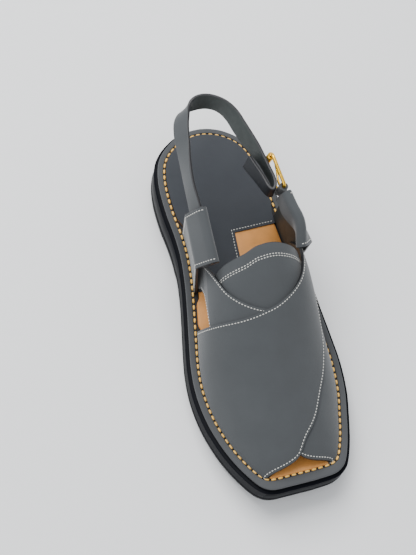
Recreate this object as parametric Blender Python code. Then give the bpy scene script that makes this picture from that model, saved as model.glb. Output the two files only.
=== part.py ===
"""Peshawari chappal, left shoe: a broad sandal with two crossing panels and a buckled back strap.

Metres, +Z up. The toe points to -Y, the heel to +Y, the inner side of the foot is -X.
The origin is on the floor, under the middle of the shoe.
"""
import math

import bmesh
import bpy
import numpy as np
from mathutils import Vector

# Sole, seen from above
LENGTH = 0.286              # welt, heel to toe
BALL_HALF = 0.055           # half of the welt's width at the ball of the foot
WALL_FLARE = 0.0030         # how far the black sole stands out beyond the welt
EDGE_STEPS = 3              # ring points between two rows of an edge table

# Heights above the floor
HEEL_HEIGHT = 0.0285        # top of the black sole at the heel
TOE_SPRING = 0.0095         # floor to the bottom of the toe
ARCH_RISE = 0.0045          # floor to the bottom of the waist

# Welt, footbed and their steps
CLEARANCE = 0.0003          # between pieces that meet
WELT_THICK = 0.0026
LIP_WIDTH = 0.0052          # flat rim outside the stitches
CHANNEL_WIDTH = 0.0040      # groove for the welt stitches and the panels' lower edges
FOOT_ROOM = 0.0007          # from the panels' lower edges to the insole's side of the groove
CHANNEL_DEPTH = 0.0011
INSOLE_THICK = 0.0034
INSOLE_ROUND = 0.0010       # rounding of its upper edge
SOCK_THICK = 0.0009

# Upper
WALL = 0.0021               # leather of the crossing panels
LAYER_STEP = 0.0013         # how far the over panel stands above the under panel
CLIMB = 0.10                # share of the half arch in which it climbs there
INSTEP_HEIGHT = 0.0660      # welt to the crest of the upper at the tongue
PANEL_ACROSS = 26           # grid of a panel, across the foot
PANEL_ALONG = 20            # grid of a panel, along the foot
TOE_CROWDING = 1.5          # above 1, the grid is finer round the toe's corners
TONGUE_WALL = 0.0022
TONGUE_ACROSS = 18
TONGUE_ALONG = 10

# Back strap, its loops and its buckle
STRAP_WIDTH = 0.0130
STRAP_THICK = 0.0024
STRAP_HEIGHT = 0.0880       # floor to the strap's middle line behind the heel
LOOP_WALL = 0.0024
LOOP_GAP = 0.0005           # room inside a loop, on each side of the strap
LOOP_STEPS = 2              # sections of a loop between two rows of its route
WIRE = 0.0026               # brass wire of the buckle
PRONG_WIRE = 0.0018
BUCKLE_LENGTH = 0.0245      # between the middles of its end bars
BUCKLE_HEIGHT = 0.0180      # between the middles of its long bars
BUCKLE_CORNER = 0.0030
ROLLER_RADIUS = 0.0027
BAR_REACH = 0.0042          # how far the front bar lies behind the outer loop's mouth
CHAPE_WALL = 0.0016         # leather round the front bar
CHAPE_TONGUE = 0.0032       # how far that leather reaches into the loop
PRONG_FLAT = 0.0040         # straight root of the prong
WIRE_SIDES = 10

# Edge of the welt: share of the length from the heel, share of the ball's half width
INNER_EDGE = [
    ("along", "across"),
    (0.000, -0.05),
    (0.005, -0.19),
    (0.019, -0.365),
    (0.048, -0.555),
    (0.086, -0.680),
    (0.145, -0.745),
    (0.220, -0.750),
    (0.290, -0.718),
    (0.350, -0.712),
    (0.420, -0.750),
    (0.490, -0.815),
    (0.565, -0.895),
    (0.645, -0.975),
    (0.715, -1.000),
    (0.790, -0.965),
    (0.860, -0.875),
    (0.915, -0.765),
    (0.965, -0.625),
    (0.989, -0.520),
    (0.999, -0.390),
    (1.000, -0.150),
]
OUTER_EDGE = [
    ("along", "across"),
    (0.000, 0.05),
    (0.005, 0.19),
    (0.019, 0.365),
    (0.048, 0.555),
    (0.086, 0.680),
    (0.145, 0.765),
    (0.220, 0.815),
    (0.290, 0.850),
    (0.350, 0.880),
    (0.420, 0.910),
    (0.490, 0.940),
    (0.565, 0.965),
    (0.645, 0.988),
    (0.715, 0.995),
    (0.790, 0.950),
    (0.860, 0.850),
    (0.915, 0.755),
    (0.960, 0.650),
    (0.983, 0.560),
    (0.996, 0.420),
    (1.000, 0.150),
]

# Side view of the black sole: share of the length, share of the heel's height
SOLE_TOP = [
    ("along", "height"),
    (0.00, 1.000),
    (0.13, 0.995),
    (0.25, 0.945),
    (0.38, 0.810),
    (0.52, 0.680),
    (0.63, 0.625),
    (0.73, 0.620),
    (0.82, 0.690),
    (0.91, 0.830),
    (1.00, 1.035),
]
# Underside: share of the length, share of the arch's rise, share of the toe spring
SOLE_BOTTOM = [
    ("along", "arch", "spring"),
    (0.000, 0.0, 0.00),
    (0.355, 0.0, 0.00),
    (0.385, 1.0, 0.00),
    (0.470, 0.9, 0.00),
    (0.570, 0.0, 0.00),
    (0.745, 0.0, 0.00),
    (0.830, 0.0, 0.18),
    (0.915, 0.0, 0.50),
    (1.000, 0.0, 1.00),
]
# Wall of the black sole: share of its local height, share of the flare
SOLE_WALL = [
    ("up", "out"),
    (0.00, 0.55),
    (0.05, 0.95),
    (0.24, 1.00),
    (0.27, 0.80),
    (0.31, 0.93),
    (0.80, 0.62),
    (0.84, 0.80),
    (0.92, 0.62),
    (0.94, -0.15),
    (1.00, -0.25),
]
# Welt across: share of the lip, share of the thickness
WELT_SECTION = [
    ("lip", "up"),
    (0.02, 0.00),
    (0.00, 0.62),
    (0.07, 0.93),
    (0.20, 1.00),
    (0.94, 1.00),
]

# Crest of the upper above the welt: share of the length, share of the instep's height,
# and how square the arch is there: 1 is a round arch, less is squarer, more is leaner
CREST = [
    ("along", "height", "square"),
    (0.120, 0.98, 0.78),
    (0.360, 0.98, 0.78),
    (0.430, 0.97, 0.76),
    (0.500, 0.92, 0.74),
    (0.570, 0.83, 0.84),
    (0.640, 0.73, 1.00),
    (0.710, 0.62, 1.14),
    (0.780, 0.50, 1.20),
    (0.850, 0.385, 1.22),
    (0.910, 0.265, 1.20),
    (0.940, 0.190, 1.15),
    (0.960, 0.110, 1.10),
    (0.971, 0.030, 1.05),
]
TOE_LINE = 0.970            # share of the length where the panels meet the welt in front

# Edges of the crossing panel that starts on the inner side: across runs from its broad
# side, -1, over the foot to its narrow end, +1. The other panel is its mirror image.
PANEL_BACK = [
    ("across", "along"),
    (-1.00, 0.553),
    (-0.86, 0.567),
    (-0.56, 0.586),
    (-0.25, 0.600),
    (-0.02, 0.595),
    (0.16, 0.573),
    (0.36, 0.530),
    (0.51, 0.482),
    (0.66, 0.438),
    (0.82, 0.402),
    (0.985, 0.378),
]
PANEL_FRONT = [
    ("across", "along"),
    (-1.00, 0.970),
    (-0.60, 0.963),
    (-0.22, 0.954),
    (0.00, 0.938),
    (0.16, 0.906),
    (0.34, 0.862),
    (0.46, 0.795),
    (0.56, 0.736),
    (0.63, 0.671),
    (0.655, 0.615),
    (0.68, 0.565),
    (0.76, 0.513),
    (0.88, 0.466),
    (0.985, 0.446),
]
TUCK_START = 0.67           # across, where a panel's narrow end begins to pass under its loop
TUCK_END = 0.80             # and where it lies right inside the loop's leather
# Tongue: across, share of the length at its top and at its hidden lower end
TONGUE_EDGE = [
    ("across", "top", "bottom"),
    (-0.62, 0.476, 0.600),
    (-0.45, 0.461, 0.655),
    (-0.14, 0.453, 0.670),
    (0.04, 0.438, 0.670),
    (0.32, 0.443, 0.665),
    (0.66, 0.452, 0.600),
]
# Front edge of the heel's leather sock, stepped: across in half widths, along
SOCK_FRONT = [
    ("across", "along"),
    (1.10, 0.312),
    (0.10, 0.315),
    (0.06, 0.452),
    (-1.10, 0.452),
]

# Route of the back strap's middle line, from the inner loop round the heel to the buckle
# and back inside itself to its tip: shares of the ball's half width, of the length from
# the heel and of the strap's height, and the tilt of its upper edge to the outer side and
# to the back, in degrees
STRAP_ROUTE = [
    ("across", "along", "height", "side", "back"),
    (-0.590, 0.450, 0.850, 34, 0),
    (-0.585, 0.381, 0.905, 30, 0),
    (-0.568, 0.312, 0.942, 27, 0),
    (-0.560, 0.245, 0.966, 20, 0),
    (-0.535, 0.190, 0.983, 25, 0),
    (-0.500, 0.139, 0.994, 38, 0),
    (-0.475, 0.102, 1.000, 48, 0),
    (-0.425, 0.068, 1.000, 50, 6),
    (-0.340, 0.043, 1.000, 40, 14),
    (-0.220, 0.029, 1.000, 22, 20),
    (-0.085, 0.025, 1.000, 8, 22),
    (0.055, 0.033, 1.000, 8, 20),
    (0.175, 0.052, 1.000, 22, 12),
    (0.255, 0.080, 1.000, 32, 5),
    (0.305, 0.115, 0.998, 36, 0),
    (0.360, 0.150, 0.991, 32, 0),
    (0.417, 0.182, 0.986, 20, 0),
    (0.466, 0.214, 0.981, 6, 0),
    (0.508, 0.250, 0.972, 0, 0),
    (0.532, 0.276, 0.966, -2, 0),
    (0.520, 0.296, 0.964, -2, 0),
    (0.472, 0.306, 0.962, 0, 0),
    (0.424, 0.296, 0.960, 2, 0),
    (0.376, 0.262, 0.952, 10, 0),
    (0.315, 0.222, 0.938, 16, 0),
    (0.290, 0.205, 0.933, 18, 0),
]
# Middle line inside the outer loop, which holds the buckle's front bar
OUTER_LOOP_ROUTE = [
    ("across", "along", "height", "side", "back"),
    (0.748, 0.445, 0.803, -37, 0),
    (0.728, 0.395, 0.880, -10, 0),
    (0.662, 0.354, 0.906, 4, 0),
    (0.632, 0.314, 0.928, 2, 0),
]
INNER_LOOP_ROWS = 3         # rows of the strap's route that lie inside the inner loop
# Fold of a loop's leather round the strap: shares of its half thickness and half height
LOOP_FOLD = [
    ("out", "up"),
    (-1.00, -0.92),
    (-1.00, -0.30),
    (-1.00, 0.76),
    (-0.78, 1.02),
    (0.00, 1.10),
    (0.78, 1.02),
    (1.00, 0.76),
    (1.00, -0.30),
    (0.96, -0.95),
]
INNER_LOOP_FOOT = (0.453, 0.285)    # shares of the length where a loop meets the welt
OUTER_LOOP_FOOT = (0.434, 0.290)


def rows(table):
    """The rows of a table below its column names."""
    return np.array(table[1:], dtype=float)


def smooth(points, steps):
    """Catmull-Rom curve through points, with `steps` pieces between two of them."""
    pts = np.asarray(points, dtype=float)
    ends = np.vstack([2 * pts[0] - pts[1], pts, 2 * pts[-1] - pts[-2]])
    out = []
    for a, b, c, d in zip(ends, ends[1:], ends[2:], ends[3:]):
        for k in range(steps):
            t = k / steps
            out.append(0.5 * (2 * b + (c - a) * t + (2 * a - 5 * b + 4 * c - d) * t ** 2
                              + (3 * b - a - 3 * c + d) * t ** 3))
    out.append(pts[-1])
    return np.array(out)


def curve_value(table, column, x):
    """Smooth value of one column of a table at x, read from the table's first column."""
    data = rows(table)
    line = smooth(data[:, [0, column]], 12)
    return np.interp(x, line[:, 0], line[:, 1])


def along(y):
    """Share of the length from the heel."""
    return 0.5 - y / LENGTH


def place_y(share):
    return LENGTH * (0.5 - share)


def sole_top(y):
    return HEEL_HEIGHT * curve_value(SOLE_TOP, 1, along(y))


def sole_bottom(y):
    data = rows(SOLE_BOTTOM)
    s = along(y)
    arch = np.interp(s, data[:, 0], data[:, 1])
    spring = np.interp(s, data[:, 0], data[:, 2])
    return ARCH_RISE * arch + TOE_SPRING * spring


def welt_base(y):
    return sole_top(y) + CLEARANCE


def insole_top(y):
    return welt_base(y) + INSOLE_THICK


def channel_floor(y):
    return welt_base(y) + WELT_THICK - CHANNEL_DEPTH


def edge_ring():
    """The welt's outer edge, heel to toe on the inner side, then back on the outer side."""
    inner = smooth(rows(INNER_EDGE), EDGE_STEPS)
    outer = smooth(rows(OUTER_EDGE), EDGE_STEPS)
    ring = np.vstack([inner, outer[::-1]])
    return np.column_stack([ring[:, 1] * BALL_HALF, place_y(ring[:, 0])])


def offset_ring(out):
    """The welt's edge moved outward by `out`."""
    ring = edge_ring()
    tangent = np.roll(ring, -1, axis=0) - np.roll(ring, 1, axis=0)
    tangent /= np.linalg.norm(tangent, axis=1)[:, None]
    return ring + np.column_stack([tangent[:, 1], -tangent[:, 0]]) * out


def half_width(y, side, inset):
    """Distance of the inset edge from the middle line at y, on one side (-1 or +1)."""
    ring = offset_ring(-inset)
    half = len(ring) // 2
    part = ring[:half] if side < 0 else ring[half:][::-1]
    keep = [part[0]]
    for point in part[1:]:
        if point[1] < keep[-1][1] - 1e-6:
            keep.append(point)
    keep = np.array(keep)
    return np.interp(-y, -keep[:, 1], keep[:, 0])


def material(name, colour, roughness, metallic=0.0):
    mat = bpy.data.materials.new(name)
    mat.use_nodes = True
    shader = mat.node_tree.nodes["Principled BSDF"]
    shader.inputs["Base Color"].default_value = (*colour, 1.0)
    shader.inputs["Roughness"].default_value = roughness
    shader.inputs["Metallic"].default_value = metallic
    return mat


def add_object(name, verts, faces, mat, angle=40.0):
    """A closed body from points and faces, with its faces turned outward."""
    mesh = bpy.data.meshes.new(name)
    mesh.from_pydata([tuple(v) for v in verts], [], faces)
    work = bmesh.new()
    work.from_mesh(mesh)
    bmesh.ops.remove_doubles(work, verts=work.verts, dist=1e-6)
    bmesh.ops.dissolve_degenerate(work, edges=work.edges, dist=1e-7)
    bmesh.ops.recalc_face_normals(work, faces=work.faces)
    work.to_mesh(mesh)
    work.free()
    mesh.materials.append(mat)
    mesh.shade_smooth()
    mesh.set_sharp_from_angle(angle=math.radians(angle))
    obj = bpy.data.objects.new(name, mesh)
    bpy.context.scene.collection.objects.link(obj)
    return obj


def ring_body(name, levels, mat):
    """Stacked rings, closed below and above by ladders across the foot.

    `levels` has one array of 3-D ring points for each level, lowest first.
    """
    count = len(levels[0])
    verts = np.vstack(levels)
    faces = []
    for k in range(len(levels) - 1):
        for i in range(count):
            j = (i + 1) % count
            faces.append((k * count + i, k * count + j, (k + 1) * count + j, (k + 1) * count + i))
    for base in (0, (len(levels) - 1) * count):
        for i in range(count // 2 - 1):
            a, b = base + i, base + i + 1
            c, d = base + count - 2 - i, base + count - 1 - i
            faces.append((a, b, c, d))
    return add_object(name, verts, faces, mat)


def lift(ring, height):
    """Ring points with a height, which is a number for each of them."""
    return np.column_stack([ring, height])


def swept_band(name, section, mat):
    """A closed ring all round the sole from a closed section of (out, height function)."""
    loops = []
    for out, height in section:
        ring = offset_ring(out)
        loops.append(lift(ring, height(ring[:, 1])))
    count = len(loops[0])
    verts = np.vstack(loops)
    faces = []
    for k in range(len(loops)):
        n = (k + 1) % len(loops)
        for i in range(count):
            j = (i + 1) % count
            faces.append((k * count + i, k * count + j, n * count + j, n * count + i))
    return add_object(name, verts, faces, mat)


def make_outsole(mat):
    levels = []
    for up, out in rows(SOLE_WALL):
        ring = offset_ring(out * WALL_FLARE)
        low, high = sole_bottom(ring[:, 1]), sole_top(ring[:, 1])
        levels.append(lift(ring, low + (high - low) * up))
    return ring_body("outsole", levels, mat)


def make_welt(mat):
    def height(up):
        return lambda y: welt_base(y) + WELT_THICK * up

    floor_up = 1.0 - CHANNEL_DEPTH / WELT_THICK
    section = [(-LIP_WIDTH * lip, height(up)) for lip, up in rows(WELT_SECTION)]
    section.append((-LIP_WIDTH, height(floor_up)))
    section.append((-LIP_WIDTH - CHANNEL_WIDTH, height(floor_up)))
    section.append((-LIP_WIDTH - CHANNEL_WIDTH, height(0.0)))
    return swept_band("welt", section, mat)


def make_insole(mat):
    inset = LIP_WIDTH + CHANNEL_WIDTH + CLEARANCE
    levels = []
    for more, up in ((0.0, 0.0), (0.0, INSOLE_THICK - INSOLE_ROUND), (INSOLE_ROUND, INSOLE_THICK)):
        ring = offset_ring(-inset - more)
        levels.append(lift(ring, welt_base(ring[:, 1]) + up))
    return ring_body("insole", levels, mat)


def boolean(target, cutter, operation):
    """Cut or join one body with a helper, which stays hidden."""
    mod = target.modifiers.new(operation.lower(), "BOOLEAN")
    mod.operation = operation
    mod.solver = "EXACT"
    mod.object = cutter
    cutter.hide_render = True
    cutter.display_type = "WIRE"


def make_heel_sock(mat):
    inset = LIP_WIDTH + CHANNEL_WIDTH + CLEARANCE
    levels = []
    for up in (CLEARANCE, CLEARANCE + SOCK_THICK):
        ring = offset_ring(-inset)
        levels.append(lift(ring, insole_top(ring[:, 1]) + up))
    sock = ring_body("heel_sock", levels, mat)
    front = rows(SOCK_FRONT)
    outline = [(a * BALL_HALF, place_y(s)) for a, s in front]
    outline += [(-1.1 * BALL_HALF, -LENGTH), (1.1 * BALL_HALF, -LENGTH)]
    low = [(x, y, 0.0) for x, y in outline]
    high = [(x, y, 2 * HEEL_HEIGHT) for x, y in outline]
    n = len(outline)
    faces = [tuple(range(n)), tuple(range(n, 2 * n))]
    faces += [(i, (i + 1) % n, n + (i + 1) % n, n + i) for i in range(n)]
    cutter = add_object("sock_front_cutter", low + high, faces, mat)
    boolean(sock, cutter, "DIFFERENCE")
    return sock


def arch_points(share, across, grow):
    """Points of the upper: `across` runs from -1 on the inner welt to +1 on the outer.

    `grow` is the distance outward from the inner face of the lower layer of leather.
    All three are arrays of one shape, and the points come in that shape too.
    """
    y = place_y(share)
    foot = LIP_WIDTH + CHANNEL_WIDTH - FOOT_ROOM
    left = half_width(y, -1, foot)
    right = half_width(y, 1, foot)
    middle = 0.5 * (left + right)
    half = 0.5 * (right - left) + grow
    crest = INSTEP_HEIGHT * curve_value(CREST, 1, share) + grow
    square = curve_value(CREST, 2, share)
    turn = np.cos(0.5 * math.pi * (across + 1.0))
    reach = -np.sign(turn) * np.abs(turn) ** square
    rise = np.sqrt(np.clip(1.0 - turn ** 2, 0.0, 1.0)) ** square
    floor = channel_floor(y) + CLEARANCE
    return np.stack([middle + half * reach, y, floor + crest * rise], axis=-1)


def shell_between(grid_low, grid_high):
    """Points and faces of a closed shell from two matching grids of points."""
    nu, nv = len(grid_low), len(grid_low[0])
    verts = [tuple(p) for grid in (grid_low, grid_high) for row in grid for p in row]
    top = nu * nv
    faces = []
    for i in range(nu - 1):
        for j in range(nv - 1):
            a, b, c, d = i * nv + j, i * nv + j + 1, (i + 1) * nv + j + 1, (i + 1) * nv + j
            faces.append((a, b, c, d))
            faces.append((top + d, top + c, top + b, top + a))
    rim = [(0, j) for j in range(nv)]
    rim += [(i, nv - 1) for i in range(1, nu)]
    rim += [(nu - 1, j) for j in range(nv - 2, -1, -1)]
    rim += [(i, 0) for i in range(nu - 2, 0, -1)]
    for (i, j), (k, m) in zip(rim, rim[1:] + rim[:1]):
        a, b = i * nv + j, k * nv + m
        faces.append((a, top + a, top + b, b))
    return verts, faces


def edge_curve(points, count):
    """A smooth curve through table rows, read at evenly spaced places."""
    line = smooth(points, 8)
    step = np.linalg.norm(np.diff(line * [1.0, 2.0], axis=0), axis=1)
    run = np.concatenate([[0.0], np.cumsum(step)])
    at = np.linspace(0.0, run[-1], count)
    return np.column_stack([np.interp(at, run, line[:, k]) for k in range(2)])


def panel_grid():
    """(across, along) of a crossing panel's grid, blended between its four edges."""
    back = edge_curve(rows(PANEL_BACK), PANEL_ACROSS)
    front = edge_curve(rows(PANEL_FRONT), PANEL_ACROSS)
    down = (1.0 - np.linspace(1.0, 0.0, PANEL_ALONG) ** TOE_CROWDING)[:, None]
    start = back[0] * (1 - down) + front[0] * down
    end = np.column_stack([np.linspace(back[-1][k], front[-1][k], PANEL_ALONG) for k in range(2)])
    grid = np.zeros((PANEL_ACROSS, PANEL_ALONG, 2))
    for i in range(PANEL_ACROSS):
        s = i / (PANEL_ACROSS - 1)
        for j in range(PANEL_ALONG):
            t = j / (PANEL_ALONG - 1)
            sides = (1 - s) * start[j] + s * end[j]
            ends = (1 - t) * back[i] + t * front[i]
            corners = ((1 - s) * (1 - t) * start[0] + (1 - s) * t * start[-1]
                       + s * (1 - t) * end[0] + s * t * end[-1])
            grid[i, j] = sides + ends - corners
    return grid


def panel_shell(side, layer):
    """One crossing panel. `side` is -1 for the one that is broad on the inner side."""
    grid = panel_grid()
    across = np.clip(grid[..., 0], -1.0, 1.0)
    tuck = np.clip((across - TUCK_START) / (TUCK_END - TUCK_START), 0.0, 1.0)
    rise = layer * over_rise(across) - (WALL + CLEARANCE) * tuck
    low = arch_points(grid[..., 1], across * -side, rise)
    high = arch_points(grid[..., 1], across * -side, rise + WALL)
    return shell_between(low, high)


def over_rise(a):
    """How far the upper layer has climbed over the lower one, 0 at the welt."""
    climb = np.minimum(1.0, (1.0 - np.abs(a)) / CLIMB)
    return climb * climb * (3.0 - 2.0 * climb)


def make_upper(mat):
    verts, faces = panel_shell(1, 0.0)
    under = add_object("upper", verts, faces, mat)
    verts, faces = panel_shell(-1, LAYER_STEP)
    over = add_object("upper_over_layer", verts, faces, mat)
    boolean(under, over, "UNION")
    return under


def make_tongue(mat):
    data = rows(TONGUE_EDGE)
    across = np.linspace(data[0, 0], data[-1, 0], TONGUE_ACROSS)
    top = [curve_value(TONGUE_EDGE, 1, a) for a in across]
    bottom = [curve_value(TONGUE_EDGE, 2, a) for a in across]
    share = np.array([np.linspace(high, low, TONGUE_ALONG) for high, low in zip(top, bottom)])
    wide = np.repeat(across[:, None], TONGUE_ALONG, axis=1)
    low = arch_points(share, wide, np.full(share.shape, -CLEARANCE - TONGUE_WALL))
    high = arch_points(share, wide, np.full(share.shape, -CLEARANCE))
    verts, faces = shell_between(low, high)
    return add_object("tongue", verts, faces, mat)


def route_frames(route, steps):
    """Middle points of a strap with its outward and upward directions, from a route."""
    line = smooth(rows(route), steps)
    points = [Vector((a * BALL_HALF, place_y(s), h * STRAP_HEIGHT)) for a, s, h in line[:, :3]]
    frames = []
    for i, point in enumerate(points):
        ahead = points[min(i + 1, len(points) - 1)] - points[max(i - 1, 0)]
        ahead.normalize()
        level = Vector((-ahead.y, ahead.x, 0.0)).normalized()
        upright = ahead.cross(level)
        if upright.z < 0.0:
            upright = -upright
        to_side, to_back = (math.tan(math.radians(a)) for a in line[i, 3:])
        up = upright + Vector((to_side, to_back, 0.0))
        up = (up - ahead * up.dot(ahead)).normalized()
        frames.append((point, up.cross(ahead), up))
    return frames


def make_back_strap(mat):
    """A flat strap on edge, with its edges slightly rounded."""
    section = ((-0.5, -0.40), (-0.5, 0.40), (-0.46, 0.5), (0.46, 0.5),
               (0.5, 0.40), (0.5, -0.40), (0.46, -0.5), (-0.46, -0.5))
    verts, faces = [], []
    frames = route_frames(STRAP_ROUTE, 3)
    for point, side, up in frames:
        for u, v in section:
            verts.append(point + side * STRAP_THICK * v + up * STRAP_WIDTH * u)
    m = len(section)
    for i in range(len(frames) - 1):
        for j in range(m):
            k = (j + 1) % m
            faces.append((i * m + j, i * m + k, (i + 1) * m + k, (i + 1) * m + j))
    faces.append(tuple(range(m)))
    faces.append(tuple((len(frames) - 1) * m + j for j in range(m)))
    return add_object("back_strap", verts, faces, mat)


def thick_sheet(grid, thick):
    """A closed shell of even thickness about a grid of points."""
    grid = np.array(grid)
    du = np.gradient(grid, axis=0)
    dv = np.gradient(grid, axis=1)
    normal = np.cross(du, dv)
    normal /= np.linalg.norm(normal, axis=2)[..., None]
    return shell_between(grid - normal * thick / 2, grid + normal * thick / 2)


def make_strap_loop(name, route, foot_span, side, mat):
    """A sheet from the welt up the outside, over the strap and down its inner face."""
    half_thick = STRAP_THICK / 2 + LOOP_GAP + LOOP_WALL / 2
    half_high = STRAP_WIDTH / 2 + LOOP_GAP + LOOP_WALL / 2
    frames = route_frames(route, LOOP_STEPS)
    foot_inset = LIP_WIDTH + CHANNEL_WIDTH - FOOT_ROOM - LOOP_WALL / 2
    grid = []
    for i, (middle, across, up) in enumerate(frames):
        out = across if across.x * side > 0.0 else -across
        row = [middle + out * half_thick * a + up * half_high * b for a, b in rows(LOOP_FOLD)]
        share = np.interp(i, [0, len(frames) - 1], foot_span)
        y = float(place_y(share))
        x = float(half_width(y, side, foot_inset))
        foot = Vector((x, y, float(channel_floor(y)) + CLEARANCE))
        last = row[-1]
        for k in (0.35, 0.72, 1.0):
            row.append(last.lerp(foot, k))
        grid.append(row)
    verts, faces = thick_sheet(grid, LOOP_WALL)
    return add_object(name, verts, faces, mat)


def wire_body(name, points, radius, mat, closed=False):
    """A round wire along points, closed on itself or with flat ends."""
    count = len(points)
    verts, faces = [], []
    for i, point in enumerate(points):
        before = points[i - 1] if closed or i else points[0]
        after = points[(i + 1) % count] if closed or i < count - 1 else points[-1]
        ahead = (after - before).normalized()
        side = ahead.cross(Vector((1.0, 0.0, 0.0))).normalized()
        up = side.cross(ahead)
        for j in range(WIRE_SIDES):
            turn = 2 * math.pi * j / WIRE_SIDES
            verts.append(point + side * radius * math.cos(turn) + up * radius * math.sin(turn))
    for i in range(count if closed else count - 1):
        n = (i + 1) % count
        for j in range(WIRE_SIDES):
            k = (j + 1) % WIRE_SIDES
            faces.append((i * WIRE_SIDES + j, i * WIRE_SIDES + k,
                          n * WIRE_SIDES + k, n * WIRE_SIDES + j))
    if not closed:
        faces.append(tuple(range(WIRE_SIDES)))
        faces.append(tuple((count - 1) * WIRE_SIDES + j for j in range(WIRE_SIDES)))
    return add_object(name, verts, faces, mat)


def buckle_axes():
    """Middle of the buckle's front bar, and its directions towards the roller and upward."""
    frames = route_frames(OUTER_LOOP_ROUTE, LOOP_STEPS)
    mouth, side, up = frames[-1]
    before = frames[-2][0]
    back = (mouth - before).normalized()
    back = (back - up * back.dot(up)).normalized()
    return mouth + back * BAR_REACH, back, up


def make_chape(mat):
    """The leather that holds the front bar: an eye round it and a tongue into the loop."""
    front, back, up = buckle_axes()
    out = back.cross(up)
    eye = WIRE / 2 + CLEARANCE + CHAPE_WALL
    root = math.asin(STRAP_THICK / 2 / eye)
    turns = np.linspace(math.pi - root, root - math.pi, 15)
    outline = [(eye * math.cos(t), eye * math.sin(t)) for t in turns]
    tip = -BAR_REACH - CHAPE_TONGUE
    outline += [(tip, -STRAP_THICK / 2), (tip, STRAP_THICK / 2)]

    def prism(name, shape, half):
        n = len(shape)
        verts = [front + back * a + out * b + up * h for h in (-half, half) for a, b in shape]
        faces = [tuple(range(n)), tuple(range(n, 2 * n))]
        faces += [(i, (i + 1) % n, n + (i + 1) % n, n + i) for i in range(n)]
        return add_object(name, verts, faces, mat)

    chape = prism("buckle_chape", outline, STRAP_WIDTH / 2)
    hole = WIRE / 2 + CLEARANCE
    circle = [(hole * math.cos(t), hole * math.sin(t)) for t in np.arange(14) * math.pi / 7]
    boolean(chape, prism("chape_hole_cutter", circle, STRAP_WIDTH), "DIFFERENCE")
    slot = [(0.0, -2 * eye), (2 * eye, -2 * eye), (2 * eye, 2 * eye), (0.0, 2 * eye)]
    boolean(chape, prism("chape_slot_cutter", slot, PRONG_WIRE / 2 + CLEARANCE), "DIFFERENCE")
    return chape


def make_buckle(mat):
    front, back, up = buckle_axes()
    out = back.cross(up)
    if out.x < 0.0:
        out = -out
    half = BUCKLE_HEIGHT / 2
    corners = [(0.0, -half), (BUCKLE_LENGTH, -half), (BUCKLE_LENGTH, half), (0.0, half)]
    path = []
    for i, (a, b) in enumerate(corners):
        before, after = corners[i - 1], corners[(i + 1) % 4]
        here = Vector((a, b))
        to_before = (Vector(before) - here).normalized() * BUCKLE_CORNER
        to_after = (Vector(after) - here).normalized() * BUCKLE_CORNER
        for k in range(4):
            t = k / 3
            spot = here + to_before * (1 - t) ** 2 + to_after * t ** 2
            path.append(front + back * spot.x + up * spot.y)
    wire_body("buckle_frame", path, WIRE / 2, mat, closed=True)

    rear = front + back * BUCKLE_LENGTH
    roller_half = half - BUCKLE_CORNER
    verts, faces = [], []
    inner = WIRE / 2 + CLEARANCE
    ring = 16
    section = [(inner, -roller_half), (ROLLER_RADIUS, -roller_half),
               (ROLLER_RADIUS, roller_half), (inner, roller_half)]
    for r, h in section:
        for j in range(ring):
            turn = 2 * math.pi * j / ring
            verts.append(rear + (out * math.cos(turn) + back * math.sin(turn)) * r + up * h)
    for i in range(4):
        n = (i + 1) % 4
        for j in range(ring):
            k = (j + 1) % ring
            faces.append((i * ring + j, i * ring + k, n * ring + k, n * ring + j))
    add_object("buckle_roller", verts, faces, mat)

    radius = PRONG_WIRE / 2
    start = WIRE / 2 + CLEARANCE + radius
    over = ROLLER_RADIUS + CLEARANCE + radius
    prong = [(start, 0.0), (start + PRONG_FLAT, 0.0), (BUCKLE_LENGTH * 0.6, over * 0.55),
             (BUCKLE_LENGTH - radius, over), (BUCKLE_LENGTH + radius, over)]
    points = [front + back * a + out * b for a, b in smooth(prong, 3)]
    wire_body("buckle_prong", points, radius, mat)


def clear_scene():
    for obj in list(bpy.data.objects):
        bpy.data.objects.remove(obj, do_unlink=True)


def main():
    clear_scene()
    black = material("black_rubber", (0.012, 0.013, 0.017), 0.55)
    grey = material("grey_nubuck", (0.115, 0.118, 0.124), 0.85)
    tan = material("tan_leather", (0.560, 0.235, 0.070), 0.60)
    brass = material("brass", (0.850, 0.520, 0.120), 0.28, 1.0)
    make_outsole(black)
    make_welt(grey)
    make_insole(tan)
    make_heel_sock(grey)
    make_upper(grey)
    make_tongue(grey)
    make_back_strap(grey)
    inner_route = STRAP_ROUTE[:INNER_LOOP_ROWS + 1]
    make_strap_loop("strap_loop_inner", inner_route, INNER_LOOP_FOOT, -1, grey)
    make_strap_loop("strap_loop_outer", OUTER_LOOP_ROUTE, OUTER_LOOP_FOOT, 1, grey)
    make_chape(grey)
    make_buckle(brass)


main()
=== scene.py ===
"""Looks of the peshawari chappal: nubuck panels, tan insole, black sole, stitches and brass.

Metres, +Z up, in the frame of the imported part: toe to -Y, heel to +Y, inner side -X.
"""
import math

import bpy
import numpy as np
from mathutils import Matrix, Vector


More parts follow.
